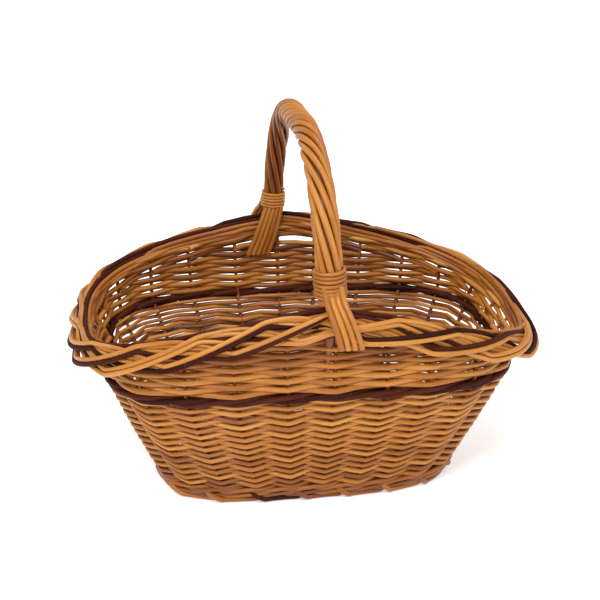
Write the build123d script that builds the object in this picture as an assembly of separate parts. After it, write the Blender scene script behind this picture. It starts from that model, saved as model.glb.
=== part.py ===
from build123d import *
import math
import os

# Willow market basket, in millimetres. Origin at the centre of the footprint on the ground,
# +X along the long side, +Y to the back, +Z up.

# Outline of the wall's outer face at three levels: half length, half width, squareness.
foot_half_length = 137.0
foot_half_width = 81.0
foot_squareness = 3.6
wale_half_length = 192.0
wale_half_width = 142.0
wale_squareness = 3.7
rim_half_length = 207.0
rim_half_width = 145.0
rim_squareness = 2.8

# Heights.
wale_top_height = 132.0       # where the sloping lower wall ends
rim_end_height = 147.0        # top of the upper wall at the two ends
rim_middle_height = 202.0     # top of the upper wall at the middle of the long sides
rim_sweep_power = 1.36        # how the rim rises from the ends to the middle
wale_depth = 11.5             # dark band
upsett_depth = 12.5           # first rows above the base

# Wall and uprights.
wall_thickness = 9.4
stake_count = 26
stake_shift = 9.5             # round the rim, so that the middle uprights stand beside the bow
stake_diameter = 4.2
stake_bend_radius = 5.5        # where it turns up out of the base
stake_wale_bend_radius = 27.0  # where the wall turns upright
stake_tail = 16.0             # length of each upright pushed into the base
stake_top_gap = 1.3           # below the slanting top of the wall
row_gap = 0.2                 # between one band of weaving and the next
rod_clearance = 0.2           # around each rod that passes through weaving

# Base.
foot_border_depth = 6.8
foot_border_width = 13.0
base_thickness = 12.0
cross_stick_diameter = 8.0
cross_stick_count = 7
long_stick_diameter = 4.5
long_stick_gap = 0.7
long_stick_count = 3
stick_end_margin = 3.0        # from the sticks' ends to the uprights' tails

# Plaited border: three strands side by side, stepping down and outwards.
inner_strand_overhang = 1.2    # the innermost strand covers the top of the wall and this much more
strand_width = 8.4             # each of the other two
strand_depth = 15.5
strand_step = 5.5             # each strand sits this much lower than the one inside it
strand_gap = 0.4
border_rise = 13.0            # top of the innermost strand above the top of the wall

# Handle.
bow_diameter = 14.0
bow_narrowing = 21.0          # the legs lean inwards by this much up to the corners
bow_crown_rise = 143.0        # above the top of the wall
bow_lift = 2.0                # round part of the bow above the border
bow_corner_radius = 112.0
tongue_length = 62.0          # flat tapered end of the bow, down inside the wall
tongue_width = 12.0
tongue_thickness = 5.4
tongue_tip_width = 6.0
tongue_tip_thickness = 2.0
rope_diameter = 23.0
neck_diameter = 21.0          # the rope where a collar squeezes it
collar_rod_diameter = 3.1
collar_gap = 0.5              # above the ties
front_collar_length = 23.0
rear_collar_length = 15.0
handle_clearance = 0.15

# Rods that tie the handle down over the border.
tie_diameter = 5.6
tie_spacing = tie_diameter + 0.5
tie_spread = 1.35             # how much wider the ties stand at their lower ends
front_tie_count = 4
rear_tie_count = 5
tie_lean = 14.0               # sideways travel from top to bottom
tie_gap = 0.3
tie_setback = 1.6             # from the bow to the upper ends of the outer ties
outer_tie_drop = 2.0          # below the border's lowest edge
inner_tie_drop = 28.0         # below the top of the wall

# How finely the outlines are drawn, and how far cutting shapes run past what they cut.
outline_steps = 48
trace_steps = 960
crest_steps = 9
crest_crowding = 0.8           # below 1 sets the crest's points closer together towards the ends
past_end = 2.0


def outline_points(half_length, half_width, squareness, fractions):
    """Points on a rounded rectangle, at fractions of the way round from the +X end."""
    trace = []
    for step in range(trace_steps + 1):
        angle = 2 * math.pi * step / trace_steps
        reach = (abs(math.cos(angle) / half_length) ** squareness
                 + abs(math.sin(angle) / half_width) ** squareness) ** (-1 / squareness)
        trace.append((reach * math.cos(angle), reach * math.sin(angle)))
    travelled = [0.0]
    for before, after in zip(trace, trace[1:]):
        travelled.append(travelled[-1] + math.dist(before, after))
    points = []
    step = 0
    for fraction in fractions:
        target = fraction * travelled[-1]
        while travelled[step + 1] < target:
            step += 1
        share = (target - travelled[step]) / (travelled[step + 1] - travelled[step])
        (x0, y0), (x1, y1) = trace[step], trace[step + 1]
        points.append((x0 + share * (x1 - x0), y0 + share * (y1 - y0)))
    return points


def even_fractions():
    return [index / outline_steps for index in range(outline_steps)]


def around(outline):
    return sum(math.dist(a, b) for a, b in zip(outline, outline[1:] + outline[:1]))


def stake_fractions():
    rim = outline_points(rim_half_length, rim_half_width, rim_squareness, even_fractions())
    shift = stake_shift / around(rim)
    return [(index + 0.5) / stake_count + shift for index in range(stake_count)]


def rim_height(x):
    """Height of the top of the wall: low at the ends, high at the middle."""
    swing = min(abs(x) / rim_half_length, 1.0) ** rim_sweep_power
    return rim_middle_height - (rim_middle_height - rim_end_height) * swing


def foot_line(inset, fractions):
    flat = outline_points(foot_half_length - inset, foot_half_width - inset, foot_squareness, fractions)
    return [Vector(x, y, 0) for x, y in flat]


def wale_line(inset, fractions):
    flat = outline_points(wale_half_length - inset, wale_half_width - inset, wale_squareness, fractions)
    return [Vector(x, y, wale_top_height) for x, y in flat]


def rim_line(inset, fractions):
    flat = outline_points(rim_half_length - inset, rim_half_width - inset, rim_squareness, fractions)
    return [Vector(x, y, rim_height(x)) for x, y in flat]


def carried_to(lower, upper, height):
    """Each line from a lower to an upper point, carried on to one level."""
    moved = []
    for start, end in zip(lower, upper):
        moved.append(start + (end - start) * ((height - start.Z) / (end.Z - start.Z)))
    return moved


def closed_wire(points):
    return Wire([Edge.make_spline(points, periodic=True)])


def flared_solid(lower, upper, low, high):
    """The solid inside a flared wall face, between two levels."""
    bottom = closed_wire(carried_to(lower, upper, low))
    top = closed_wire(carried_to(lower, upper, high))
    return Solid.make_loft([bottom, top], ruled=True)


def lower_wall(low, high):
    fractions = even_fractions()
    outer = flared_solid(foot_line(0, fractions), wale_line(0, fractions), low, high)
    inner = flared_solid(foot_line(wall_thickness, fractions),
                         wale_line(wall_thickness, fractions), low - past_end, high + past_end)
    return outer - inner


def upper_wall(low, high):
    fractions = even_fractions()
    outer = flared_solid(wale_line(0, fractions), rim_line(0, fractions), low, high)
    inner = flared_solid(wale_line(wall_thickness, fractions),
                         rim_line(wall_thickness, fractions), low - past_end, high + past_end)
    return outer - inner


def below_rim(offset):
    """Everything lower than the rim line raised by an offset."""
    reach = rim_half_length + border_width + past_end
    half = [rim_half_length * (index / crest_steps) ** crest_crowding
            for index in range(1, crest_steps + 1)]
    stations = [-x for x in reversed(half)] + [0.0] + half
    crest = Edge.make_spline([Vector(x, 0, rim_height(x) + offset) for x in stations])
    end_height = rim_end_height + offset
    corners = [(rim_half_length, 0, end_height), (reach, 0, end_height), (reach, 0, -reach),
               (-reach, 0, -reach), (-reach, 0, end_height), (-rim_half_length, 0, end_height)]
    rest = Polyline(*corners)
    face = Face(Wire([crest] + rest.edges()))
    return extrude(face, amount=reach, both=True)


def rod_along(points, radii, diameter):
    """A round rod along straight runs joined by tangent arcs."""
    if radii:
        path = FilletPolyline(*points, radius=radii)
    else:
        path = Line(*points)
    start = path @ 0
    section = Plane(origin=start, z_dir=path % 0) * Circle(diameter / 2)
    return sweep(section, path=path)


def inward_from(point):
    """Level direction square to the foot outline, towards the inside."""
    power = foot_squareness - 1
    across = math.copysign(abs(point.X / foot_half_length) ** power / foot_half_length, point.X)
    along = math.copysign(abs(point.Y / foot_half_width) ** power / foot_half_width, point.Y)
    return Vector(-across, -along, 0).normalized()


def stake_route(index, top_height):
    """Route of one upright: out through the base, up the lower wall, up the upper wall."""
    fraction = [stake_fractions()[index]]
    middle = wall_thickness / 2
    foot = foot_line(middle, fraction)
    wale = wale_line(middle, fraction)
    rim = rim_line(middle, fraction)
    bend = carried_to(foot, wale, base_middle)[0]
    tail_end = bend + inward_from(bend) * stake_tail
    top = carried_to(wale, rim, top_height(rim[0].X))[0]
    return [tail_end, bend, wale[0], top]


def stake_rod(index, diameter, extra):
    route = stake_route(index, lambda x: rim_height(x) - stake_top_gap + extra)
    route[0] = route[0] + (route[0] - route[1]).normalized() * extra
    return rod_along(route, [stake_bend_radius, stake_wale_bend_radius], diameter)


def side_of(index):
    """Which side of the basket an upright belongs to."""
    x, y = outline_points(wale_half_length, wale_half_width, wale_squareness,
                          [stake_fractions()[index]])[0]
    if abs(x) / wale_half_length > abs(y) / wale_half_width:
        return "right" if x > 0 else "left"
    return "back" if y > 0 else "front"


def border_ring(place):
    """One strand of the border, counted from the inside."""
    inner = sum(strand_widths[:place]) + place * strand_gap - wall_thickness
    outer = inner + strand_widths[place]
    top = border_rise - place * strand_step
    rings = []
    for offset in (inner, outer):
        flat = outline_points(rim_half_length + offset, rim_half_width + offset,
                              rim_squareness, even_fractions())
        wire = closed_wire([Vector(x, y, wale_top_height - strand_depth) for x, y in flat])
        rings.append(extrude(Face(wire), amount=rim_middle_height, dir=(0, 0, 1)))
    bottom = row_gap if place == 0 else top - strand_depth
    return ((rings[1] - rings[0]) & below_rim(top)) - below_rim(bottom)


def bow_route():
    corner_width = bow_foot_width - bow_narrowing
    return [(0, -bow_foot_width, bow_foot_height), (0, -corner_width, bow_crown_height),
            (0, corner_width, bow_crown_height), (0, bow_foot_width, bow_foot_height)]


def bow_path():
    return FilletPolyline(*bow_route(), radius=bow_corner_radius)


def sleeve(first, last, diameter):
    """A round solid along part of the bow, between two distances from its ends."""
    path = bow_path()
    length = path.length
    piece = path.trim(first / length, 1 - last / length)
    section = Plane(origin=piece @ 0, z_dir=piece % 0) * Circle(diameter / 2)
    return sweep(section, path=piece)


def tongue(side, clearance):
    """The flat tapered end of the bow, pushed down into the wall."""
    wide = Rectangle(tongue_width + clearance, tongue_thickness + clearance)
    thin = Rectangle(tongue_tip_width + clearance, tongue_tip_thickness + clearance)
    middle = side * bow_foot_width
    top = Plane(origin=(0, middle, bow_foot_height)) * wide
    tip_height = bow_foot_height - tongue_length - clearance
    bottom = Plane(origin=(0, middle, tip_height)) * thin
    return loft([bottom, top])


def leg_plane(side, height):
    """A plane square to one leg of the bow, at a height."""
    foot, corner = Vector(*bow_route()[0]), Vector(*bow_route()[1])
    along = corner - foot
    spot = foot + along * ((height - foot.Z) / along.Z)
    if side > 0:
        return Plane(origin=(0, -spot.Y, spot.Z), x_dir=(1, 0, 0), z_dir=(0, -along.Y, along.Z))
    return Plane(origin=(0, spot.Y, spot.Z), x_dir=(1, 0, 0), z_dir=(0, along.Y, along.Z))


def collar(side, length):
    bore = neck_diameter / 2 + handle_clearance
    outer = neck_diameter / 2 + collar_rod_diameter
    tube = Circle(outer) - Circle(bore)
    return extrude(leg_plane(side, collar_height) * tube, amount=length)


def outer_ties(side, count):
    """Rods that run from the collar out over the border and down its outer face."""
    clear = tie_diameter / 2 + tie_gap
    face = rim_half_width - wall_thickness + border_width + clear
    start_height = rim_middle_height + border_rise + clear
    start_reach = bow_foot_width + bow_diameter / 2 + tie_setback
    lowest = rim_middle_height + border_rise - 2 * strand_step - strand_depth - outer_tie_drop
    rods = []
    for index in range(count):
        place = (index - (count - 1) / 2) * tie_spacing
        lean = -side * tie_lean
        points = [(place, side * start_reach, start_height),
                  (place * tie_spread + lean * 0.5, side * face, start_height - strand_step),
                  (place * tie_spread + lean, side * face, lowest)]
        rods.append(rod_along(points, [tie_diameter], tie_diameter))
    return rods


def inner_ties(side, count):
    """Rods that run from the collar down the inner face of the wall."""
    clear = tie_diameter / 2 + tie_gap
    face = min(wale_half_width, rim_half_width) - wall_thickness - clear
    rods = []
    for index in range(count):
        place = (index - (count - 1) / 2) * tie_spacing
        lean = -side * tie_lean
        points = [(place, side * face, rim_middle_height + border_rise + tie_diameter / 2),
                  (place * tie_spread + lean, side * face, rim_middle_height - inner_tie_drop)]
        rods.append(rod_along(points, [], tie_diameter))
    return rods


def as_group(solids):
    return Compound(children=[solid if isinstance(solid, Solid) else solid.solids()[0] for solid in solids])


def save(shape, name):
    export_step(shape, f"parts/{name}.step")


strand_widths = [wall_thickness + inner_strand_overhang, strand_width, strand_width]
border_width = sum(strand_widths) + 2 * strand_gap
base_bottom = foot_border_depth + row_gap / 2
base_middle = base_bottom + base_thickness / 2
wall_bottom = base_bottom
upsett_top = wall_bottom + upsett_depth
wale_bottom = wale_top_height - wale_depth
bow_foot_width = rim_half_width - wall_thickness / 2
bow_foot_height = rim_middle_height + border_rise + bow_lift
bow_crown_height = rim_middle_height + bow_crown_rise
bow_slope = bow_narrowing / (bow_crown_height - bow_foot_height)
collar_tilt = (neck_diameter / 2 + collar_rod_diameter) * bow_slope
collar_height = rim_middle_height + border_rise + tie_gap + tie_diameter + collar_gap + collar_tilt


def build_base():
    fractions = even_fractions()
    slope = base_bottom / wale_top_height
    slab_inset = wall_thickness + row_gap
    slab_length = foot_half_length + (wale_half_length - foot_half_length) * slope - slab_inset
    slab_width = foot_half_width + (wale_half_width - foot_half_width) * slope - slab_inset
    flat = outline_points(slab_length, slab_width, foot_squareness, fractions)
    wire = closed_wire([Vector(x, y, base_bottom) for x, y in flat])
    slab = extrude(Face(wire), amount=base_thickness, dir=(0, 0, 1))

    foot = outline_points(foot_half_length, foot_half_width, foot_squareness, fractions)
    pitch = around(foot) / stake_count
    tail_room = stake_tail + stick_end_margin
    long_half = slab_length - tail_room
    long_sticks = []
    long_channels = []
    for index in range(long_stick_count):
        y = (index - (long_stick_count - 1) / 2) * (long_stick_diameter + long_stick_gap)
        spot = Plane(origin=(0, y, base_middle), z_dir=(1, 0, 0))
        long_sticks.append(extrude(spot * Circle(long_stick_diameter / 2), amount=long_half, both=True))
        channel = spot * Circle(long_stick_diameter / 2 + rod_clearance)
        long_channels.append(extrude(channel, amount=long_half + rod_clearance, both=True))

    cross_sticks = []
    cross_channels = []
    for index in range(cross_stick_count):
        x = (index - (cross_stick_count - 1) / 2) * pitch
        share = 1 - (abs(x) / slab_length) ** foot_squareness
        half = slab_width * share ** (1 / foot_squareness) - tail_room
        spot = Plane(origin=(x, 0, base_middle), z_dir=(0, 1, 0))
        stick = extrude(spot * Circle(cross_stick_diameter / 2), amount=half, both=True)
        for channel in long_channels:
            stick -= channel
        cross_sticks.append(stick)
        channel = spot * Circle(cross_stick_diameter / 2 + rod_clearance)
        cross_channels.append(extrude(channel, amount=half + rod_clearance, both=True))

    weave = slab - long_channels - cross_channels
    for index in range(stake_count):
        tail_end, bend = stake_route(index, rim_height)[:2]
        inward = inward_from(bend)
        plane = Plane(origin=tail_end + inward * rod_clearance, z_dir=inward * -1)
        channel = Circle(stake_diameter / 2 + rod_clearance)
        weave -= extrude(plane * channel, amount=stake_tail + rod_clearance)

    foot_faces = [Face(closed_wire(foot_line(inset, fractions))) for inset in (0, foot_border_width)]
    foot_border = extrude(foot_faces[0] - foot_faces[1], foot_border_depth, dir=(0, 0, 1))

    save(foot_border, "foot_border")
    save(weave, "base_weave")
    save(as_group(cross_sticks), "base_cross_sticks")
    save(as_group(long_sticks), "base_long_sticks")


def build_walls():
    channels = [stake_rod(index, stake_diameter + 2 * rod_clearance, past_end)
                for index in range(stake_count)]
    bands = {
        "upsett_wale": lower_wall(wall_bottom, upsett_top - row_gap),
        "lower_siding": lower_wall(upsett_top, wale_bottom - row_gap),
        "dark_wale": lower_wall(wale_bottom, wale_top_height - row_gap),
        "upper_siding": upper_wall(wale_top_height, rim_middle_height + border_rise)
        & below_rim(-row_gap),
    }
    for name, band in bands.items():
        band = band - channels
        if name == "upper_siding":
            for side in (-1, 1):
                band = band - tongue(side, 2 * rod_clearance)
        save(band, name)

    sides = {"front": [], "back": [], "left": [], "right": []}
    for index in range(stake_count):
        sides[side_of(index)].append(stake_rod(index, stake_diameter, 0))
    for side, rods in sides.items():
        save(as_group(rods), f"stakes_{side}")


def build_border():
    for place, name in enumerate(["border_strand_inner", "border_strand_middle", "border_strand_outer"]):
        strand = border_ring(place)
        if place == 0:
            for side in (-1, 1):
                strand = strand - tongue(side, 2 * rod_clearance)
        save(strand, name)


def build_handle():
    core = sleeve(0, 0, bow_diameter)
    bow = core + tongue(-1, 0) + tongue(1, 0)
    leg_start = collar_height - bow_foot_height
    neck_ends = [leg_start + length + handle_clearance for length in (front_collar_length, rear_collar_length)]
    rope = sleeve(leg_start, leg_start, neck_diameter) + sleeve(*neck_ends, rope_diameter)
    rope = rope - sleeve(0, 0, bow_diameter + 2 * handle_clearance)
    save(bow, "handle_bow")
    save(rope, "handle_rope")
    save(collar(-1, front_collar_length), "collar_front")
    save(collar(1, rear_collar_length), "collar_rear")
    save(as_group(outer_ties(-1, front_tie_count)), "ties_front_outer")
    save(as_group(inner_ties(-1, front_tie_count)), "ties_front_inner")
    save(as_group(outer_ties(1, rear_tie_count)), "ties_rear_outer")
    save(as_group(inner_ties(1, rear_tie_count)), "ties_rear_inner")


os.makedirs("parts", exist_ok=True)
build_base()
build_walls()
build_border()
build_handle()
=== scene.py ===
import bpy
import math
import numpy as np
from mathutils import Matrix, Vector


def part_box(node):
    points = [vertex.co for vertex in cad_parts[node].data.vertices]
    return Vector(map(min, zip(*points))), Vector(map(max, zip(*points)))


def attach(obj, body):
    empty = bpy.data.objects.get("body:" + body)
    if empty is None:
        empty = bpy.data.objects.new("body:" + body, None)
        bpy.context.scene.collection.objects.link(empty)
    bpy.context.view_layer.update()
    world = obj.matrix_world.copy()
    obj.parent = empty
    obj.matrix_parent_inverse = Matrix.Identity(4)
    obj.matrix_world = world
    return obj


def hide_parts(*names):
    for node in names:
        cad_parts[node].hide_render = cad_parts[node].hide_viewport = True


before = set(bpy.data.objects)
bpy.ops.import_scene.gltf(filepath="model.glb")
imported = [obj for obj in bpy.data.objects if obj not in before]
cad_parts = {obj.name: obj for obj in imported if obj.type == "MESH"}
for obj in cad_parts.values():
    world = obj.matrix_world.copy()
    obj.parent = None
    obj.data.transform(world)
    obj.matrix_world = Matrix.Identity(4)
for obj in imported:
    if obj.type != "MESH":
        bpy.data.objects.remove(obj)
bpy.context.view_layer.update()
rng = np.random.default_rng(11)  # every small irregularity comes from here, so each run is the same
mm = 0.001


def reach(node):
    low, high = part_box(node)
    return np.array(low) / mm, np.array(high) / mm


# the basket's shape, in millimetres, from the frame
footHigh = reach("foot_border")[1]
waleHigh = reach("dark_wale")[1]
rimHigh = reach("upper_siding")[1]
rimEnd = reach("border_strand_inner")[0][2]
borderTop = reach("border_strand_inner")[1][2] - rimHigh[2]

shape = {
    "footSquare": 3.3, "waleSquare": 3.7, "rimSquare": 2.8,  # how boxy each outline is
    "halfWall": 4.7, "bulge": 2.2,  # the sloping wall is a little full
    "rimPower": 1.36, "rimSkew": -0.018,  # the left end stands a little higher
    "waleRise": 4.0,  # the dark band rises a little at the middle of the long sides
    "backLift": 7.0,  # towards the ends the back of the rim stays higher than the front
    "stakes": 26, "stakeShift": 9.5, "stakeRadius": 2.1,
}


def ovalAt(turns, halfLength, halfWidth, square):
    # points at even steps round a rounded rectangle; one turn starts at the +X end
    angle = np.linspace(0, 2 * np.pi, 2401)
    along, across = np.abs(np.cos(angle) / halfLength), np.abs(np.sin(angle) / halfWidth)
    away = (along ** square + across ** square) ** (-1 / square)
    x, y = away * np.cos(angle), away * np.sin(angle)
    gone = np.concatenate([[0], np.cumsum(np.hypot(np.diff(x), np.diff(y)))])
    want = np.mod(turns, 1) * gone[-1]
    return np.stack([np.interp(want, gone, x), np.interp(want, gone, y)], -1), gone[-1]


def rimHeight(flat):
    x, y = flat[:, 0], flat[:, 1]
    swing = np.minimum(np.abs(x) / rimHigh[0], 1) ** shape["rimPower"]
    back = np.clip(np.abs(x) / rimHigh[0] * 2 - 0.7, 0, 1) * np.clip(y / rimHigh[1] * 1.2 + 0.35, 0, 1)
    return rimHigh[2] - (rimHigh[2] - rimEnd) * swing + shape["rimSkew"] * x + shape["backLift"] * back


def wallAt(turns, level):
    # the middle of the wall's thickness: level 0 is the ground, 1 the top of the dark band, 2 the rim
    inset = shape["halfWall"]
    foot = ovalAt(turns, footHigh[0] - inset, footHigh[1] - inset, shape["footSquare"])[0]
    wale = ovalAt(turns, waleHigh[0] - inset, waleHigh[1] - inset, shape["waleSquare"])[0]
    rim = ovalAt(turns, rimHigh[0] - inset, rimHigh[1] - inset, shape["rimSquare"])[0]
    low = np.clip(level, None, 1)[:, None]
    up = np.clip(level - 1, 0, None)[:, None]
    flat = foot + (wale - foot) * low + (rim - wale) * up
    out = wale / np.linalg.norm(wale, axis=1)[:, None]
    flat = flat + out * shape["bulge"] * 4 * low * (1 - low)
    lift = shape["waleRise"] * (1 - (wale[:, 0] / waleHigh[0]) ** 2) * low[:, 0] ** 2
    height = waleHigh[2] * low[:, 0] + lift + (rimHeight(rim) - waleHigh[2] - lift) * up[:, 0]
    return np.column_stack([flat, height])


def wallOut(turns, level):
    along = wallAt(turns + 0.002, level) - wallAt(turns - 0.002, level)
    climb = wallAt(turns, level + 0.02) - wallAt(turns, level - 0.02)
    out = np.cross(along, climb)
    return out / np.linalg.norm(out, axis=1)[:, None]


rimTurn = ovalAt(np.zeros(1), rimHigh[0], rimHigh[1], shape["rimSquare"])[1]
stakeTurns = (np.arange(shape["stakes"]) + 0.5) / shape["stakes"] + shape["stakeShift"] / rimTurn
stakeTurns = stakeTurns + rng.uniform(-0.0025, 0.0025, shape["stakes"])
kinkDepth = rng.uniform(1.3, 3.4, shape["stakes"])  # the rows dip this much at each upright
print("shape read from the frame: rim", np.round(rimHigh, 1))


def betweenStakes(turns):
    # for each place: the upright before it, and how far it is towards the next, 0 to 1
    count = shape["stakes"]
    whole = np.floor(turns)
    line = np.concatenate([stakeTurns - 1, stakeTurns, stakeTurns + 1])
    part = turns - whole
    spot = np.searchsorted(line, part + 1e-9, side="right") - 1
    share = (part - line[spot]) / (line[spot + 1] - line[spot])
    return (spot - count + whole * count).astype(int), np.clip(share, 0, 1)


def turnOfStake(number):
    count = shape["stakes"]
    return stakeTurns[number % count] + number // count


def weaveSteps(first, last, fine=(0, 0.13, 0.31, 0.5, 0.69, 0.87)):
    # places along a row, from one upright to another, closest where the rod bends
    steps = []
    for number in range(first, last):
        here, after = turnOfStake(number), turnOfStake(number + 1)
        steps += [here + (after - here) * share for share in fine]
    return np.array(steps + [turnOfStake(last)])


def ripple(size, places, scale):
    # a smooth small wander
    total = np.zeros(len(places))
    for wave in (1, 2.3, 4.1):
        total += np.sin(places * wave * scale + rng.uniform(0, 6.28)) / wave
    return total * size / 1.6


def rodMesh(name, rods, sides=8):
    # one mesh of round rods; each rod has a path and a radius in millimetres, and a tone from 0 to 1
    spots, faces, tones, places = [], [], [], []
    base = 0
    for rod in rods:
        path = np.asarray(rod["path"], float)
        count = len(path)
        closed = rod.get("closed", False)
        if closed:
            ahead = np.roll(path, -1, 0) - np.roll(path, 1, 0)
        else:
            ahead = np.gradient(path, axis=0)
        ahead /= np.linalg.norm(ahead, axis=1)[:, None]
        if "up" in rod:
            side = np.broadcast_to(np.asarray(rod["up"], float), path.shape)
            side = side - ahead * np.sum(side * ahead, 1)[:, None]
        else:
            side = np.zeros_like(path)
            last = np.cross(ahead[0], [0.31, 0.22, 0.93])
            for index in range(count):
                last = last - ahead[index] * np.dot(last, ahead[index])
                last = last / np.linalg.norm(last)
                side[index] = last
        side = side / np.linalg.norm(side, axis=1)[:, None]
        other = np.cross(ahead, side)
        length = np.concatenate([[0], np.cumsum(np.linalg.norm(np.diff(path, axis=0), axis=1))])
        radius = np.broadcast_to(np.asarray(rod["radius"], float), (count,))
        short, long = np.sin(length / 9 + rod["tone"] * 50), np.sin(length / 23 + rod["tone"] * 90)
        radius = radius * (1 + 0.035 * short + 0.025 * long)  # no rod is quite even
        turn = np.arange(sides) / sides * 2 * np.pi
        ring = (np.cos(turn)[None, :, None] * side[:, None] + np.sin(turn)[None, :, None] * other[:, None])
        ring = path[:, None] + ring * radius[:, None, None]
        spots.append(ring.reshape(-1, 3))
        start = rod["tone"] * 7.31 + base * 0.00137
        run = np.arange(count if closed else count - 1)
        for index in run:
            one, two = base + index * sides, base + ((index + 1) % count) * sides
            where, after = start + length[index] * mm, start + (length[index] + 6) * mm
            if index + 1 < count:
                after = start + length[index + 1] * mm
            for k in range(sides):
                n = (k + 1) % sides
                faces.append((one + k, one + n, two + n, two + k))
                near, far = k / sides, (k + 1) / sides
                places += [(where, near), (where, far), (after, far), (after, near)]
        size = count * sides
        if not closed:
            spots.append(np.array([path[0], path[-1]]))
            ends = [(size, 0, start), (size + 1, (count - 1) * sides, start + length[-1] * mm)]
            for middle, first, where in ends:
                for k in range(sides):
                    n = (k + 1) % sides
                    pair = (k, n) if middle == size + 1 else (n, k)
                    faces.append((base + middle, base + first + pair[0], base + first + pair[1]))
                    places += [(where + 0.002, 0.5), (where, pair[0] / sides), (where, pair[1] / sides)]
            size += 2
        # an optional per-point tone shift, which on the handle's rear leg is partly painted shade
        tone = np.repeat(np.clip(rod["tone"] + np.broadcast_to(rod.get("toneAndShadeShift", 0.0), (count,)), 0, 1), sides)
        tones.append(np.concatenate([tone, tone[[0, -1]]]) if size > len(tone) else tone)
        base += size
    mesh = bpy.data.meshes.new(name)
    mesh.from_pydata((np.concatenate(spots) * mm).tolist(), [], faces)
    mesh.attributes.new("rodTone", "FLOAT", "POINT").data.foreach_set("value", np.concatenate(tones))
    mesh.uv_layers.new(name="rodMap").data.foreach_set("uv", np.array(places, float).ravel())
    piece = bpy.data.objects.new(name, mesh)
    bpy.context.scene.collection.objects.link(piece)
    bpy.ops.object.select_all(action="DESELECT")
    piece.select_set(True)
    bpy.context.view_layer.objects.active = piece
    bpy.ops.object.shade_smooth_by_angle(angle=math.radians(50))
    return piece


def finishPiece(piece, material, slot, *nodes):
    piece.data.materials.append(material)
    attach(piece, "root")
    if nodes:
        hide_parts(*nodes)
    print(piece.name, len(piece.data.polygons), "faces")
    return piece


def toneNear(middle, spread=0.16):
    return float(np.clip(rng.normal(middle, spread), 0.02, 0.98))


def tapered(count, thick, thin):
    # butt to tip, or tip to butt
    ends = (thick, thin) if rng.random() < 0.5 else (thin, thick)
    return np.linspace(ends[0], ends[1], count)


def newGroup(name, inputs, outputs):
    group = bpy.data.node_groups.new(name, "ShaderNodeTree")
    for label, kind, value in inputs:
        socket = group.interface.new_socket(label, in_out="INPUT", socket_type=kind)
        socket.default_value = value
    for label, kind in outputs:
        group.interface.new_socket(label, in_out="OUTPUT", socket_type=kind)
    return group, group.nodes.new("NodeGroupInput"), group.nodes.new("NodeGroupOutput")


def mathNode(tree, operation, first, second=None, third=None):
    node = tree.nodes.new("ShaderNodeMath")
    node.operation = operation
    for index, value in enumerate((first, second, third)):
        if value is None:
            continue
        if isinstance(value, (int, float)):
            node.inputs[index].default_value = value
        else:
            tree.links.new(value, node.inputs[index])
    return node.outputs[0]


def noiseNode(tree, vector, scale, detail, roughness=0.55):
    node = tree.nodes.new("ShaderNodeTexNoise")
    node.inputs["Scale"].default_value = scale
    node.inputs["Detail"].default_value = detail
    node.inputs["Roughness"].default_value = roughness
    tree.links.new(vector, node.inputs["Vector"])
    return node.outputs["Fac"]


def mixColour(tree, share, first, second, blend="MIX"):
    node = tree.nodes.new("ShaderNodeMix")
    node.data_type = "RGBA"
    node.blend_type = blend
    for index, value in ((0, share), (6, first), (7, second)):
        if isinstance(value, (int, float, tuple)):
            node.inputs[index].default_value = value
        else:
            tree.links.new(value, node.inputs[index])
    return node.outputs[2]


def rampNode(tree, value, stops):
    node = tree.nodes.new("ShaderNodeValToRGB")
    while len(node.color_ramp.elements) < len(stops):
        node.color_ramp.elements.new(0.5)
    for element, (place, colour) in zip(node.color_ramp.elements, stops):
        element.position = place
        element.color = (*colour, 1) if len(colour) == 3 else colour
    tree.links.new(value, node.inputs["Fac"])
    return node.outputs["Color"]


def barkPlaces(tree):
    # along the rod in metres and round it, joined with no seam
    place = tree.nodes.new("ShaderNodeUVMap")
    place.uv_map = "rodMap"
    apart = tree.nodes.new("ShaderNodeSeparateXYZ")
    tree.links.new(place.outputs["UV"], apart.inputs[0])
    angle = mathNode(tree, "MULTIPLY", apart.outputs["Y"], 2 * math.pi)
    return apart.outputs["X"], mathNode(tree, "COSINE", angle), mathNode(tree, "SINE", angle)


def stretched(tree, along, cosine, sine, stretch, wide):
    node = tree.nodes.new("ShaderNodeCombineXYZ")
    tree.links.new(mathNode(tree, "MULTIPLY", along, stretch), node.inputs[0])
    tree.links.new(mathNode(tree, "MULTIPLY", cosine, wide), node.inputs[1])
    tree.links.new(mathNode(tree, "MULTIPLY", sine, wide), node.inputs[2])
    return node.outputs[0]


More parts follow.
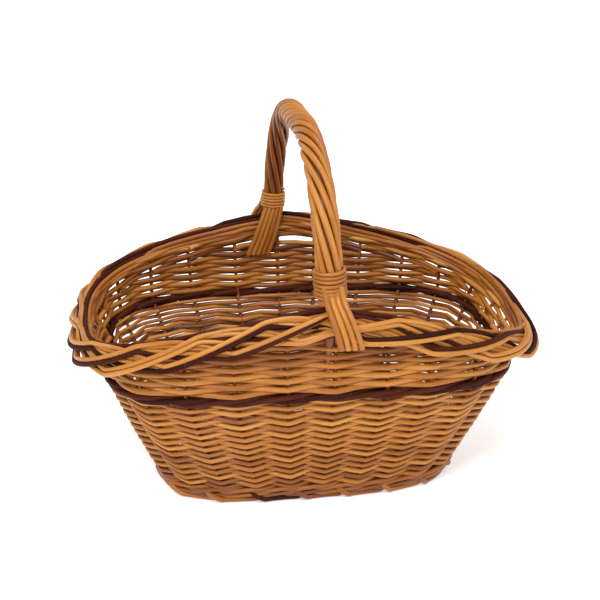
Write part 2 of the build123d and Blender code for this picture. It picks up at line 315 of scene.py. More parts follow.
def buildBark():
    # streaks along the rod, soft blotches, small specks and a ring at each leaf scar
    group, start, end = newGroup(
        "willowBark",
        [("Streaks", "NodeSocketFloat", 0.5), ("Specks", "NodeSocketFloat", 0.5)],
        [("Streak", "NodeSocketFloat"), ("Blotch", "NodeSocketFloat"), ("Speck", "NodeSocketFloat"),
         ("Scar", "NodeSocketFloat"), ("Height", "NodeSocketFloat")])
    along, cosine, sine = barkPlaces(group)
    fine = noiseNode(group, stretched(group, along, cosine, sine, 60, 3.2), 1.0, 3)
    broad = noiseNode(group, stretched(group, along, cosine, sine, 22, 0.55), 1.0, 2)
    dots = noiseNode(group, stretched(group, along, cosine, sine, 520, 2.1), 1.0, 1)
    speck = mathNode(group, "SMOOTH_MIN", 1.0, mathNode(group, "MULTIPLY", mathNode(
        group, "MAXIMUM", mathNode(group, "SUBTRACT", dots, 0.68), 0.0), 9.0), 0.1)
    speck = mathNode(group, "MULTIPLY", speck, start.outputs["Specks"])
    wander = mathNode(group, "ADD", mathNode(group, "MULTIPLY", along, 19.0),
                      mathNode(group, "MULTIPLY", cosine, 0.03))
    ringPlace = mathNode(group, "SUBTRACT", mathNode(group, "FRACT", wander), 0.5)
    ringPlace = mathNode(group, "ABSOLUTE", ringPlace)
    scar = mathNode(group, "SUBTRACT", 1.0, mathNode(group, "MULTIPLY", ringPlace, 42.0))
    scar = mathNode(group, "MAXIMUM", scar, 0.0)
    side = mathNode(group, "MAXIMUM", mathNode(group, "SUBTRACT", cosine, 0.45), 0.0)
    scar = mathNode(group, "MULTIPLY", mathNode(group, "MULTIPLY", scar, side), 0.35)
    streak = mathNode(group, "MULTIPLY", fine, start.outputs["Streaks"])
    height = mathNode(group, "ADD", mathNode(group, "MULTIPLY", fine, 0.5),
                      mathNode(group, "MULTIPLY", scar, 0.8))
    height = mathNode(group, "SUBTRACT", height, mathNode(group, "MULTIPLY", speck, 0.4))
    results = {"Streak": streak, "Blotch": broad, "Speck": speck, "Scar": scar, "Height": height}
    for label, value in results.items():
        group.links.new(value, end.inputs[label])
    return group


bark = buildBark()


def willow(name, stops, finish):
    # one willow colour: the rod's own tone picks its place on the ramp, the bark varies it
    material = bpy.data.materials.new(name)
    material.use_nodes = True
    tree = material.node_tree
    shader = tree.nodes["Principled BSDF"]
    skin = tree.nodes.new("ShaderNodeGroup")
    skin.node_tree = bark
    skin.inputs["Streaks"].default_value = finish["streaks"]
    skin.inputs["Specks"].default_value = finish["specks"]
    tone = tree.nodes.new("ShaderNodeAttribute")
    tone.attribute_name = "rodTone"
    blotch = mathNode(tree, "SUBTRACT", skin.outputs["Blotch"], 0.5)
    streak = mathNode(tree, "SUBTRACT", skin.outputs["Streak"], finish["streaks"] / 2)
    shift = mathNode(tree, "ADD", mathNode(tree, "MULTIPLY", blotch, finish["blotch"]), streak)
    colour = rampNode(tree, mathNode(tree, "ADD", tone.outputs["Fac"], shift), stops)
    for mark, strength in (("Speck", 0.75), ("Scar", 0.55)):
        share = mathNode(tree, "MULTIPLY", skin.outputs[mark], strength)
        colour = mixColour(tree, share, colour, finish["speckColour"])
    tree.links.new(colour, shader.inputs["Base Color"])
    rough = mathNode(tree, "ADD", mathNode(tree, "MULTIPLY", skin.outputs["Streak"], 0.25), finish["rough"])
    tree.links.new(mathNode(tree, "ADD", rough, mathNode(tree, "MULTIPLY", skin.outputs["Scar"], 0.2)),
                   shader.inputs["Roughness"])
    bump = tree.nodes.new("ShaderNodeBump")
    bump.inputs["Strength"].default_value = finish["bump"]
    bump.inputs["Distance"].default_value = 0.0004
    tree.links.new(skin.outputs["Height"], bump.inputs["Height"])
    tree.links.new(bump.outputs["Normal"], shader.inputs["Normal"])
    shader.inputs["Coat Weight"].default_value = finish["coat"]
    shader.inputs["Coat Roughness"].default_value = 0.28
    shader.inputs["Specular IOR Level"].default_value = finish["specular"]
    return material


goldenWillow = willow("goldenWillow", [
    (0.0, (0.085, 0.020, 0.003)), (0.25, (0.22, 0.062, 0.007)), (0.5, (0.34, 0.116, 0.014)),
    (0.75, (0.45, 0.185, 0.030)), (1.0, (0.58, 0.29, 0.07))],
    {"streaks": 0.34, "specks": 0.8, "blotch": 0.5, "rough": 0.36, "bump": 0.5, "coat": 0.06, "specular": 0.3,
     "speckColour": (0.10, 0.035, 0.012, 1)})
darkWillow = willow("darkWillow", [
    (0.0, (0.022, 0.004, 0.002)), (0.5, (0.052, 0.010, 0.005)), (1.0, (0.12, 0.028, 0.012))],
    {"streaks": 0.5, "specks": 0.4, "blotch": 0.5, "rough": 0.55, "bump": 0.4, "coat": 0.0, "specular": 0.07,
     "speckColour": (0.16, 0.07, 0.04, 1)})


def plainRow(first, last, level, settings, flip):
    # a rod that passes in front of one upright and behind the next
    turns = weaveSteps(first, last)
    number, share = betweenStakes(turns)
    sign = np.where((number + flip) % 2 == 0, 1.0, -1.0)
    swing = 0.55 * (1 - 2 * share) + 0.45 * np.cos(np.pi * share)
    depth = sign * swing * (shape["stakeRadius"] + settings["radius"] * settings["bow"])
    drift = sign * np.sin(np.pi * share) * settings["drift"]
    dip = np.where(share < 0.5, kinkDepth[number % shape["stakes"]] * (1 - 2 * share),
                   kinkDepth[(number + 1) % shape["stakes"]] * (2 * share - 1))
    rise = drift - dip * settings["kink"] + ripple(settings["wander"], turns, 40)
    return turns, level(turns) + rise / settings["slope"], depth


def rowRod(turns, levels, depth, radius, tone):
    out = wallOut(turns, levels)
    return {"path": wallAt(turns, levels) + out * depth[:, None], "radius": radius, "tone": tone, "up": out}


def breakRow(first, count):
    # where one rod of a row ends and the next begins: always where the row passes behind an upright
    joins = []
    place = (first + 1) % 2 + int(rng.integers(0, 6)) * 2
    end = place + count - 6
    while place < end:
        joins.append(place)
        place += int(rng.integers(4, 7)) * 2
    return joins


def thinAtEnds(turns, amount):
    # rods are thinner round the two ends of the basket, so more light comes through there
    x = ovalAt(turns, 1, 1, 2)[0][:, 0]
    return 1 - amount * np.clip((np.abs(x) - 0.45) / 0.4, 0, 1)


lower = {"rows": 28, "bottom": 20.2, "top": 124.2, "radius": 2.4, "tip": 2.0, "bow": 0.8, "drift": 0.15,
         "wander": 0.3, "slope": 145.0, "ends": 0.1}


def lowerSiding():
    rods = []
    count = shape["stakes"]
    for row in range(lower["rows"]):
        share = (row + 0.5) / lower["rows"]
        height = lower["bottom"] + (lower["top"] - lower["bottom"]) * share
        calm = min(1.0, (lower["rows"] - row) / 5, (row + 1.5) / 4)
        settings = dict(lower, kink=calm)
        flat = height / waleHigh[2]
        joins = breakRow(row % 2, count)
        for here, after in zip(joins, joins[1:] + [joins[0] + count]):
            turns, levels, depth = plainRow(here, after, lambda t: np.full(len(t), flat), settings, row)
            depth[0] = depth[-1] = -(shape["stakeRadius"] + lower["radius"] * 1.1)
            radius = tapered(len(turns), lower["radius"], lower["tip"]) * thinAtEnds(turns, lower["ends"])
            rods.append(rowRod(turns, levels, depth, radius, toneNear(0.5)))
    return rods


upper = {"pitch": 4.05, "rounds": 4, "above": 4.6, "radius": 2.8, "tip": 2.4, "bow": 0.35, "drift": 0.2,
         "wander": 0.45, "kink": 0.55, "gap": -0.6, "slope": 60.0, "ends": 0.04}


def riseAbove(turns):
    # how far the rim is above the dark band
    return wallAt(turns, np.full(len(turns), 2.0))[:, 2] - wallAt(turns, np.ones(len(turns)))[:, 2]


def squeezedLevel(turns, height, ceiling):
    # a short row lies under the long ones, and is pressed down where they come low
    room = riseAbove(turns)
    return 1 + np.minimum(height, room + ceiling - upper["pitch"] * 0.4) / room


def upperRow(row, here, after, level, tucked):
    turns, levels, depth = plainRow(here, after, level, upper, row)
    depth[:tucked] = depth[-tucked:] = -(shape["stakeRadius"] + upper["radius"] * 1.1)
    radius = tapered(len(turns), upper["radius"], upper["tip"]) * thinAtEnds(turns, upper["ends"])
    return rowRod(turns, levels, depth, radius, toneNear(0.45))


def upperSiding():
    rods = []
    count = shape["stakes"]
    pitch = upper["pitch"]
    for row in range(upper["rounds"]):  # these go all the way round, under the border
        below = upper["above"] - (row + 0.5) * pitch
        joins = breakRow(row % 2, count)
        for here, after in zip(joins, joins[1:] + [joins[0] + count]):
            rods.append(upperRow(row, here, after, lambda turns: 2 + below / riseAbove(turns), 1))
    ceiling = upper["above"] - upper["rounds"] * pitch
    for row in range(16):  # short rows that fill the high middle of each long side
        height = upper["gap"] + (row + 0.5) * pitch
        for back in (True, False):
            numbers = np.arange(count)
            turns = np.array([turnOfStake(number) for number in numbers])
            room = riseAbove(turns) + ceiling > height - pitch * 0.5
            wanted = numbers[room & ((wallAt(turns, np.ones(count))[:, 1] > 0) == back)]
            if len(wanted) < 3:
                continue
            first, last = int(wanted[0]), int(wanted[-1])  # each ends inside, behind an upright
            first, last = first - (first + row) % 2, last + (last + row) % 2
            rods.append(upperRow(row + 1, first, last,
                                 lambda turns: squeezedLevel(turns, height, ceiling), 1))
    return rods


wales = {
    "upsett": {"rounds": 2, "bottom": 7.6, "top": 20.2, "radius": 2.3, "tone": 0.36, "first": 6},
    "dark": {"rounds": 1, "bottom": 123.0, "top": 131.6, "radius": 2.75, "tone": 0.45, "first": 5},
}


def waleRods(wale):
    # three rods at a time: each goes in front of two uprights and behind one, climbing as it goes
    rods = []
    count = shape["stakes"]
    radius = wale["radius"]
    deep = {0: -1.0, 1: 0.85, 2: 1.0}  # behind one upright, then in front of two
    climb = {0: 0.1, 1: -0.88, 2: 0.86}
    for turn in range(wale["rounds"]):
        middle = wale["bottom"] + (wale["top"] - wale["bottom"]) * (turn + 0.5) / wale["rounds"]
        for strand in range(3):
            begin = strand + turn * 5 + wale["first"]
            turns = weaveSteps(begin, begin + count + 1)
            number, share = betweenStakes(turns)
            smooth = share * share * (3 - 2 * share) * 0.5 + share * 0.5
            phase = (number + strand) % 3
            now = np.array([deep[p] for p in phase])
            then = np.array([deep[(p + 1) % 3] for p in phase])
            depth = (now + (then - now) * smooth) * (shape["stakeRadius"] + radius * 0.8)
            low = np.array([climb[p] for p in phase])
            high = np.array([climb[(p + 1) % 3] for p in phase])
            rise = (low + (high - low) * smooth) * radius + ripple(0.3, turns, 30)
            height = middle + rise
            levels = height / waleHigh[2]
            taper = tapered(len(turns), radius, radius * 0.9)
            rods.append(rowRod(turns, levels, depth, taper, toneNear(wale["tone"])))
    return rods


def uprights():
    rods = {"front": [], "back": [], "left": [], "right": []}
    for number in range(shape["stakes"]):
        turn = turnOfStake(number)
        levels = np.concatenate([np.linspace(0.06, 1, 14), np.linspace(1.1, 2.05, 9)])
        lean = rng.uniform(-0.0012, 0.0012)
        turns = turn + lean * np.sin(levels * 2)
        path = wallAt(turns, levels)
        x, y = path[12][:2]
        if abs(x) / waleHigh[0] > abs(y) / waleHigh[1]:
            side = "right" if x > 0 else "left"
        else:
            side = "back" if y > 0 else "front"
        # the uprights get a low tone: painted shade, for the shadow they sit in between the rows
        rods[side].append({"path": path, "radius": np.linspace(2.2, 1.8, len(levels)),
                           "tone": toneNear(0.18, 0.06), "up": wallOut(turns, levels)})
    return rods


print("weaving the wall")
finishPiece(rodMesh("lowerSiding", lowerSiding()), goldenWillow, "golden_willow", "lower_siding")
finishPiece(rodMesh("upperSiding", upperSiding()), goldenWillow, "golden_willow", "upper_siding")
finishPiece(rodMesh("upsettWale", waleRods(wales["upsett"])), goldenWillow, "golden_willow", "upsett_wale")
finishPiece(rodMesh("darkWale", waleRods(wales["dark"])), darkWillow, "dark_willow", "dark_wale")
for side, rods in uprights().items():
    finishPiece(rodMesh(f"stakes{side.title()}", rods), goldenWillow, "golden_willow", f"stakes_{side}")

# foot border: thick rods laid round the lower edge
foot = {"rods": 19, "radius": 3.0, "tip": 2.6, "cover": 2.1, "height": 3.3, "from": 15.0,
        "darkOnes": (12, 4), "start": 0.038}


def footBorder(dark):
    rods = []
    for number in range(foot["rods"]):
        if (number in foot["darkOnes"]) != dark:
            continue
        begin = number / foot["rods"] + foot["start"] + rng.uniform(-0.004, 0.004)
        share = np.linspace(0, 1, 34)
        turns = begin + share * foot["cover"] / foot["rods"]
        drop = np.clip(share / 0.26, 0, 1)
        drop = drop * drop * (3 - 2 * drop)
        tail = np.clip((share - 0.5) / 0.25, 0, 1)
        tail = tail * tail * (3 - 2 * tail)
        height = foot["from"] + (foot["height"] - foot["from"]) * drop + 4.2 * tail
        depth = -2.0 + 7.6 * np.clip(share / 0.09, 0, 1) - 2.4 * np.clip((share - 0.12) / 0.3, 0, 1)
        depth = depth - 6.5 * tail
        levels = height / waleHigh[2]
        out = wallOut(turns, levels)
        path = wallAt(turns, levels) + out * depth[:, None]
        path[:, 2] = np.maximum(path[:, 2], foot["radius"] * 1.06)
        rods.append({"path": path, "radius": tapered(len(share), foot["radius"], foot["tip"]),
                     "tone": toneNear(0.3 if dark else 0.36), "up": out})
    return rods


finishPiece(rodMesh("footBorder", footBorder(False), 10), goldenWillow, "golden_willow", "foot_border")
finishPiece(rodMesh("footBorderDark", footBorder(True), 10), darkWillow, "dark_willow", "foot_border")

# the border is a plait over rods laid along the inside of the rim
plait = {"waves": 7, "radius": 2.2, "spacing": 4.5, "over": 3.2, "samples": 56, "elbowAt": -51.0,
         "innerTop": (2.5, 13.8), "outerLow": (13.5, -13.8),  # outwards from the rim line, and above it
         # each rod's place in its strand at the elbow, its place on the way down, and 1 if behind
         "places": [(0.5, 1.45, 0), (-0.5, -1.45, 0), (0.35, 0.5, 1), (-0.4, -0.5, 1)],
         "darkPlace": (1, 1, 3)}


def borderSpot(turns, outwards, upwards):
    edge = ovalAt(turns, rimHigh[0], rimHigh[1], shape["rimSquare"])[0]
    run = ovalAt(turns + 0.001, rimHigh[0], rimHigh[1], shape["rimSquare"])[0] - ovalAt(
        turns - 0.001, rimHigh[0], rimHigh[1], shape["rimSquare"])[0]
    side = np.stack([run[:, 1], -run[:, 0]], -1) / np.linalg.norm(run, axis=1)[:, None]
    spot = edge + side * outwards[:, None]
    return np.column_stack([spot, rimHeight(edge) + upwards])


def plateAt(turns, across, lift):
    # across is 1 at the inner top edge and -1 at the outer lower edge; lift is off the face
    centre = (np.array(plait["innerTop"]) + np.array(plait["outerLow"])) / 2
    half = (np.array(plait["innerTop"]) - np.array(plait["outerLow"])) / 2
    off = np.array([half[1], -half[0]]) / np.linalg.norm(half)
    outwards, upwards = (centre[axis] + half[axis] * across + off[axis] * lift for axis in (0, 1))
    return borderSpot(turns, outwards, upwards)


def elbowTurn():
    # where on the front the rods turn over most sharply
    turns = np.linspace(0.5, 1, 2001)
    x = ovalAt(turns, rimHigh[0], rimHigh[1], shape["rimSquare"])[0][:, 0]
    return turns[np.argmin(np.abs(x - plait["elbowAt"]))]


def plaitRods():
    # three strands of four rods: up the outer face to a sharp elbow at the top, along,
    # then down behind the next two strands
    golden, dark = [], []
    half = np.linalg.norm(np.array(plait["innerTop"]) - np.array(plait["outerLow"])) / 2
    steps = np.arange(plait["waves"] * plait["samples"]) / plait["samples"]
    for strand in range(3):
        wander = ripple(0.03, steps, 0.9) * np.sin(np.pi * steps / plait["waves"])
        height = ripple(0.5, steps, 1.7) * np.sin(np.pi * steps / plait["waves"])
        for place, (tight, loose, back) in enumerate(plait["places"]):
            phase = np.mod(steps, 1)
            up = np.clip(phase / 0.5, 0, 1)
            down = np.clip((phase - 0.5) / 0.5, 0, 1)
            swing = np.where(phase < 0.5, -1 + 2 * up ** 1.35, 1 - 2 * (0.3 * down + 0.7 * down ** 1.9))
            swing = (np.roll(swing, 1) + 2 * swing + np.roll(swing, -1)) / 4
            spread = tight + (loose - tight) * np.sin(np.pi * down) ** 1.3
            turns = elbowTurn() + (steps - 0.5 + strand / 3 + wander) / plait["waves"]
            # the pair changes places under the ties at the front and the back
            around = np.mod(turns - 0.755, 1)
            swap = np.tanh((around - 0.5) * 30) * np.tanh((np.abs(around - 0.5) - 0.5) * -30)
            offset = spread * plait["spacing"] * (1 if back else swap)
            wide = half - plait["radius"] - plait["spacing"] * 0.5 + height
            under = back * plait["radius"] * 1.3 * (1 - np.sin(np.pi * down) ** 0.7)
            lift = plait["over"] * np.sin(2 * np.pi * phase) - under
            lift = lift + ripple(0.25, steps, 5) * np.sin(np.pi * steps / plait["waves"])
            path = plateAt(turns, (swing * wide + offset) / half, lift)
            isDark = place == plait["darkPlace"][strand]
            rod = {"path": path, "radius": plait["radius"] * rng.uniform(0.95, 1.03), "closed": True,
                   "tone": toneNear(0.4) if isDark else toneNear(0.66, 0.1)}
            (dark if isDark else golden).append(rod)
    return golden, dark


track = {"rods": 8, "cover": 1.9, "radius": 2.5, "darkLine": 2,
         "lines": ((-6.6, 0.4), (-5.4, 5.4), (-1.8, 10.0))}  # outwards from the rim line, and above it


def trackRods():
    # long rods laid along the inside of the rim, each rising a little over the one before
    golden, dark = [], []
    for line, (outwards, upwards) in enumerate(track["lines"]):
        for number in range(track["rods"]):
            share = np.linspace(0, 1, 40)
            turns = (number + line * 0.37 + rng.uniform(-0.1, 0.1) + share * track["cover"]) / track["rods"]
            slope = np.interp(share, [0, 0.5, 0.88, 1], [-4.4, 0.4, 1.8, -8.0])
            deep = outwards + np.interp(share, [0, 0.12, 0.5, 0.86, 1], [4.0, 0, -0.6, 0.6, 4.0])
            path = borderSpot(turns, deep + ripple(0.3, share, 5), upwards + slope + ripple(0.3, share, 4))
            isDark = line == track["darkLine"] and rng.random() < 0.45
            rod = {"path": path, "radius": tapered(len(path), track["radius"], track["radius"] * 0.85),
                   "tone": toneNear(0.42)}
            (dark if isDark else golden).append(rod)
    return golden, dark


print("plaiting the border")
golden, dark = plaitRods()
finishPiece(rodMesh("borderPlait", golden, 10), goldenWillow, "golden_willow", "border_strand_outer")
finishPiece(rodMesh("borderPlaitDark", dark, 10), darkWillow, "dark_willow", "border_strand_middle")
golden, dark = trackRods()
finishPiece(rodMesh("rimTrack", golden, 10), goldenWillow, "golden_willow", "border_strand_inner")
finishPiece(rodMesh("rimTrackDark", dark, 10), darkWillow, "dark_willow", "border_strand_inner")

ropeLow, ropeHigh = reach("handle_rope")
handle = {"rods": 8, "thick": 12.2, "thin": 10.2, "rod": 2.8, "cornerRadius": 112.0, "narrowing": 21.0,
          "lean": (5.0, -4.0, -11.0),  # how far each end and the crown stand to the right
          "twist": 0.023, "crownTwist": 0.04}  # radians to the millimetre


def bowLine(count):
    # up one leg, round one corner, over the crown, and down the other side
    foot = np.array([rimHigh[1] - shape["halfWall"], rimHigh[2] + borderTop + 2])
    crown = (ropeHigh[2] - (ropeHigh[0] - ropeLow[0]) / 2)
    corner = np.array([foot[0] - handle["narrowing"], crown])
    legWay = (foot - corner) / np.linalg.norm(foot - corner)
    topWay = np.array([-1.0, 0.0])
    opening = math.acos(float(legWay @ topWay))
    between = (legWay + topWay) / np.linalg.norm(legWay + topWay)
    middle = corner + between * handle["cornerRadius"] / math.sin(opening / 2)
    cut = handle["cornerRadius"] / math.tan(opening / 2)
    first, last = corner + legWay * cut - middle, corner + topWay * cut - middle
    angles = np.linspace(math.atan2(first[1], first[0]), math.atan2(last[1], last[0]), 60)
    bend = middle + np.stack([np.cos(angles), np.sin(angles)], -1) * handle["cornerRadius"]
    half = np.concatenate([[foot], bend]) * [-1, 1]
    line = np.concatenate([half, half[::-1] * [-1, 1]])
    gone = np.concatenate([[0], np.cumsum(np.linalg.norm(np.diff(line, axis=0), axis=1))])
    share = np.linspace(0, 1, count)
    y, z = np.interp(share * gone[-1], gone, line[:, 0]), np.interp(share * gone[-1], gone, line[:, 1])
    x = np.interp(share, [0, 0.5, 1], handle["lean"])
    return np.column_stack([x, y, z]), gone[-1]


def handleFrame(path):
    ahead = np.gradient(path, axis=0)
    ahead /= np.linalg.norm(ahead, axis=1)[:, None]
    across = np.broadcast_to([1.0, 0, 0], path.shape)
    across = across - ahead * np.sum(across * ahead, 1)[:, None]
    across /= np.linalg.norm(across, axis=1)[:, None]
    return ahead, across, np.cross(ahead, across)


def ropeRods():
    path, length = bowLine(150)
    ahead, across, out = handleFrame(path)
    share = np.linspace(0, 1, len(path))
    rods = []
    twist = handle["twist"] + handle["crownTwist"] * np.exp(-((share - 0.47) / 0.2) ** 2)
    turned = np.cumsum(twist) * length / len(path)
    squeeze = 1 - 0.1 * (np.exp(-((share - 0.03) / 0.035) ** 2) + np.exp(-((share - 0.97) / 0.03) ** 2))
    for number in range(handle["rods"]):
        radius = np.linspace(handle["rod"], handle["rod"] * 0.84, len(path)) * rng.uniform(0.94, 1.05)
        away = (np.linspace(handle["thick"], handle["thin"], len(path)) - radius) * squeeze
        away = away + ripple(0.25, share, 14)
        angle = -turned + 2 * np.pi * number / handle["rods"] + ripple(0.06, share, 11)
        spots = path + across * (np.cos(angle) * away)[:, None] + out * (np.sin(angle) * away)[:, None]
        # the rear leg is darkened: partly the willow's own darker tone, partly painted shade
        rods.append({"path": spots, "radius": radius, "tone": toneNear(0.56, 0.08),
                     "toneAndShadeShift": -0.3 * np.clip((share - 0.55) / 0.1, 0, 1)})
    # the core gets the darkest tone, painted shade for the dark gaps between the rope rods
    core = {"path": path, "radius": np.linspace(7.4, 6.2, len(path)), "tone": 0.02}
    return rods, core, path


print("twisting the handle")
ropes, core, bowPath = ropeRods()
finishPiece(rodMesh("handleRope", ropes, 12), goldenWillow, "golden_willow", "handle_rope")
footY = rimHigh[1] - shape["halfWall"]
coreRods = [core]
for side, thick in ((0, 6.8), (-1, 6.2)):  # the cut ends of the bow, tapered down into the wall
    root = bowPath[side]
    tip = np.array([root[0] * 0.5, np.sign(root[1]) * (footY - 1), rimHigh[2] - 46])
    share = np.linspace(0, 1, 12)[:, None]
    coreRods.append({"path": root + (tip - root) * share, "radius": np.linspace(thick, 1.6, 12), "tone": 0.2})
finishPiece(rodMesh("handleBow", coreRods, 12), goldenWillow, "golden_willow", "handle_bow")


collars = {
    "front": {"side": -1, "turns": 7, "radius": 1.6, "legRadius": 11.2, "tail": 1.5},
    "rear": {"side": 1, "turns": 5, "radius": 1.5, "legRadius": 9.6, "tail": -1.2},
}


def collarRods(place):
    # a thin rod wound round the foot of a leg, its end tucked under the winding
    low, high = reach(f"collar_{place}")
    side, turns, radius = (collars[place][word] for word in ("side", "turns", "radius"))
    path = bowPath[:40] if side < 0 else bowPath[::-1][:40]
    heights = path[:, 2]
    bottom, top = low[2] + 1.5, high[2] - 1.5
    steps = np.linspace(0, turns, turns * 22)
    z = bottom + (top - bottom) * steps / turns
    x, y = np.interp(z, heights, path[:, 0]), np.interp(z, heights, path[:, 1])
    away = collars[place]["legRadius"] + radius + ripple(0.15, steps, 3)
    angle = 2 * np.pi * steps * side * -1 + 0.6
    z = z + ripple(0.25, steps, 1.3)
    spots = np.column_stack([x + np.cos(angle) * away, y + np.sin(angle) * away, z])
    rods = [{"path": spots, "radius": radius, "tone": toneNear(0.6, 0.05)}]
    share = np.linspace(0, 1, 14)
    start = angle[-1] - 0.2
    angles = start + collars[place]["tail"] * share
    z = top + share * 5
    x, y = np.interp(z, heights, path[:, 0]), np.interp(z, heights, path[:, 1])
    tuck = away[-1] + 0.6 - 3.2 * share
    spots = np.column_stack([x + np.cos(angles) * tuck, y + np.sin(angles) * tuck, z])
    rods.append({"path": spots, "radius": np.linspace(radius, radius * 0.6, 14), "tone": 0.6})
    return rods


for place in collars:
    collar = rodMesh(f"collar{place.title()}", collarRods(place), 10)
    finishPiece(collar, goldenWillow, "golden_willow", f"collar_{place}")

ties = {
    "front": {"side": -1, "rods": 4, "radius": 2.6},
    "rear": {"side": 1, "rods": 5, "radius": 2.3},
    "lean": 14.0,  # the ends fan out to one side
}


def smoothThrough(points, count):
    # an even, rounded line through a few points
    points = np.array(points, float)
    curve = bpy.data.curves.new("line", "CURVE")
    curve.dimensions = "3D"
    spline = curve.splines.new("NURBS")
    spline.points.add(len(points) - 1)
    for spot, point in zip(points, spline.points):
        point.co = (*spot, 1)
    spline.order_u = 3
    spline.use_endpoint_u = True
    spline.resolution_u = 12
    holder = bpy.data.objects.new("line", curve)
    mesh = bpy.data.meshes.new_from_object(holder)
    line = np.array([v.co for v in mesh.vertices])
    bpy.data.objects.remove(holder)
    bpy.data.curves.remove(curve)
    bpy.data.meshes.remove(mesh)
    gone = np.concatenate([[0], np.cumsum(np.linalg.norm(np.diff(line, axis=0), axis=1))])
    want = np.linspace(0, gone[-1], count)
    return np.column_stack([np.interp(want, gone, line[:, axis]) for axis in range(3)])


def tieRods(place, outer):
    # the ends of the handle rods, down over the border or down the inside of the wall
    side, count, thick = (ties[place][word] for word in ("side", "rods", "radius"))
    layer = "outer" if outer else "inner"
    node = f"ties_{place}_{layer}"
    low, high = reach(node)
    legX = bowPath[2 if side < 0 else -3][0]
    legY = abs(bowPath[2][1])
    lean = -side * ties["lean"]
    rods = []
    for number in range(count):
        away = (number - (count - 1) / 2) * thick * 2.04
        if outer:
            face = (high[1] if side > 0 else -low[1]) - 2.9
            points = [(away * 0.85, legY + 8, high[2] + 14),
                      (away * 0.9 + lean * 0.12, legY + 11.5, high[2] + 1),
                      (away + lean * 0.4, face - 3, high[2] - 9),
                      (away * 1.08 + lean * 0.8, face, low[2] + 11),
                      (away * 1.1 + lean, face - 1, low[2] - 1)]
        else:
            face = max(abs(low[1]), abs(high[1])) - 2.8
            points = [(away * 0.85, legY - 9, high[2] + 4),
                      (away * 0.95 + lean * 0.3, legY - 11, high[2] - 10),
                      (away * 1.05 + lean * 0.8, face, low[2] + 14),
                      (away * 1.1 + lean * 1.2, face + 1, low[2])]
        path = smoothThrough([(legX + x, side * y, z) for x, y, z in points], 22)
        rods.append({"path": path, "radius": thick * rng.uniform(0.94, 1.03), "tone": toneNear(0.55, 0.1)})
    tie = rodMesh(f"ties{place.title()}{layer.title()}", rods, 12)
    finishPiece(tie, goldenWillow, "golden_willow", node)


for place in ("front", "rear"):
    for outer in (True, False):
        tieRods(place, outer)

baseLow, baseHigh = reach("base_weave")
base = {"pitch": 4.3, "radius": 2.05, "rim": 19.0, "rounds": 4}


def baseWeave():
    rods = []
    middle = (baseLow[2] + baseHigh[2]) / 2
    sticks = np.linspace(reach("base_cross_sticks")[0][0] + 4, reach("base_cross_sticks")[1][0] - 4, 7)
    for ring in range(base["rounds"]):
        inset = 2.3 + ring * base["pitch"]
        turns = weaveSteps(0, shape["stakes"])[:-1]
        number, share = betweenStakes(turns)
        sign = np.where((number + ring) % 2 == 0, 1.0, -1.0)
        flat = ovalAt(turns, baseHigh[0] - inset, baseHigh[1] - inset, shape["footSquare"])[0]
        height = middle + sign * np.cos(np.pi * share) * 3.9
        rods.append({"path": np.column_stack([flat, height]), "radius": base["radius"],
                     "tone": toneNear(0.4), "closed": True, "up": (0, 0, 1)})
    halfLength, halfWidth = baseHigh[0] - base["rim"], baseHigh[1] - base["rim"]
    rows = int(2 * halfWidth / base["pitch"])
    for row in range(rows):
        y = -halfWidth + (row + 0.5) * 2 * halfWidth / rows
        end = halfLength * (1 - (abs(y) / halfWidth) ** shape["footSquare"]) ** (1 / shape["footSquare"])
        x = np.linspace(-end, end, 90)
        place = (x - sticks[0]) / (sticks[1] - sticks[0])
        sign = 1 if row % 2 else -1
        height = middle + sign * np.cos(np.pi * place) * 5.6
        rods.append({"path": np.column_stack([x, np.full(90, y) + ripple(0.3, x, 0.05), height]),
                     "radius": tapered(90, base["radius"], 1.8), "tone": toneNear(0.4), "up": (0, 1, 0)})
    return rods


print("weaving the base")
finishPiece(rodMesh("baseWeave", baseWeave()), goldenWillow, "golden_willow", "base_weave")


# peeled sticks keep their own shape from the frame
def stickMaterial():
    material = bpy.data.materials.new("baseSticks")
    material.use_nodes = True
    tree = material.node_tree
    shader = tree.nodes["Principled BSDF"]
    place = tree.nodes.new("ShaderNodeTexCoord")
    grain = noiseNode(tree, place.outputs["Object"], 160.0, 3)
    colour = rampNode(tree, grain, [(0.3, (0.26, 0.09, 0.02)), (0.7, (0.5, 0.22, 0.06))])
    rough = mathNode(tree, "ADD", mathNode(tree, "MULTIPLY", grain, 0.2), 0.4)
    tree.links.new(colour, shader.inputs["Base Color"])
    tree.links.new(rough, shader.inputs["Roughness"])
    return material


sticks = stickMaterial()
for node in ("base_cross_sticks", "base_long_sticks"):
    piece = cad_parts[node]
    if piece.material_slots:
        for place in piece.material_slots:
            place.material = sticks
    else:
        piece.data.materials.append(sticks)


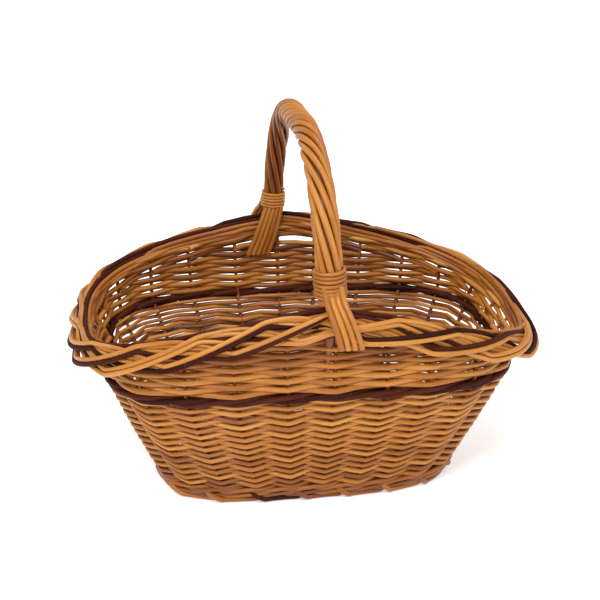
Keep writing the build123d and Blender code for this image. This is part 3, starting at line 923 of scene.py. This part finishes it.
def paleFloor():
    bpy.ops.object.select_all(action="DESELECT")
    bpy.ops.mesh.primitive_plane_add(size=60, location=(0, 0, -0.0006))
    floor = bpy.context.object
    floor.name = "floor"
    material = bpy.data.materials.new("paleFloor")
    material.use_nodes = True
    shader = material.node_tree.nodes["Principled BSDF"]
    shader.inputs["Base Color"].default_value = (0.92, 0.92, 0.92, 1)
    shader.inputs["Roughness"].default_value = 0.9
    shader.inputs["Specular IOR Level"].default_value = 0.1
    shader.inputs["Emission Color"].default_value = (1, 1, 1, 1)
    shader.inputs["Emission Strength"].default_value = 0.45
    floor.data.materials.append(material)


def softLight(name, place, size, power, aim):
    lamp = bpy.data.lights.new(name, "AREA")
    lamp.shape = "DISK"
    lamp.size = size
    lamp.energy = power
    light = bpy.data.objects.new(name, lamp)
    light.location = place
    light.rotation_euler = (Vector(aim) - Vector(place)).to_track_quat("-Z", "Y").to_euler()
    bpy.context.scene.collection.objects.link(light)


camera = {"azimuth": -8.03, "elevation": 20.48, "distance": 1.3054, "lens": 82.15,
          "target": (-0.002, 0, 0.169)}


def setCamera():
    data = bpy.data.cameras.new("camera")
    data.lens = camera["lens"]
    data.sensor_width = 36
    eye = bpy.data.objects.new("camera", data)
    side, up = math.radians(camera["azimuth"]), math.radians(camera["elevation"])
    back = Vector((math.sin(side) * math.cos(up), -math.cos(side) * math.cos(up), math.sin(up)))
    eye.location = Vector(camera["target"]) + back * camera["distance"]
    eye.rotation_euler = (-back).to_track_quat("-Z", "Y").to_euler()
    data.clip_start = 0.05
    bpy.context.scene.collection.objects.link(eye)
    bpy.context.scene.camera = eye


print("floor, light and camera")
paleFloor()
softLight("key", (-0.7, -1.5, 1.7), 0.8, 34, (0, 0, 0.12))
softLight("fill", (1.6, -1.2, 1.0), 1.2, 10, (0, 0, 0.12))
softLight("top", (0.0, -0.1, 2.2), 1.0, 20, (0, 0, 0.1))
world = bpy.data.worlds.new("studio")
world.use_nodes = True
world.node_tree.nodes["Background"].inputs["Color"].default_value = (1, 1, 1, 1)
world.node_tree.nodes["Background"].inputs["Strength"].default_value = 0.6
bpy.context.scene.world = world
bpy.context.scene.view_settings.view_transform = "Standard"
setCamera()
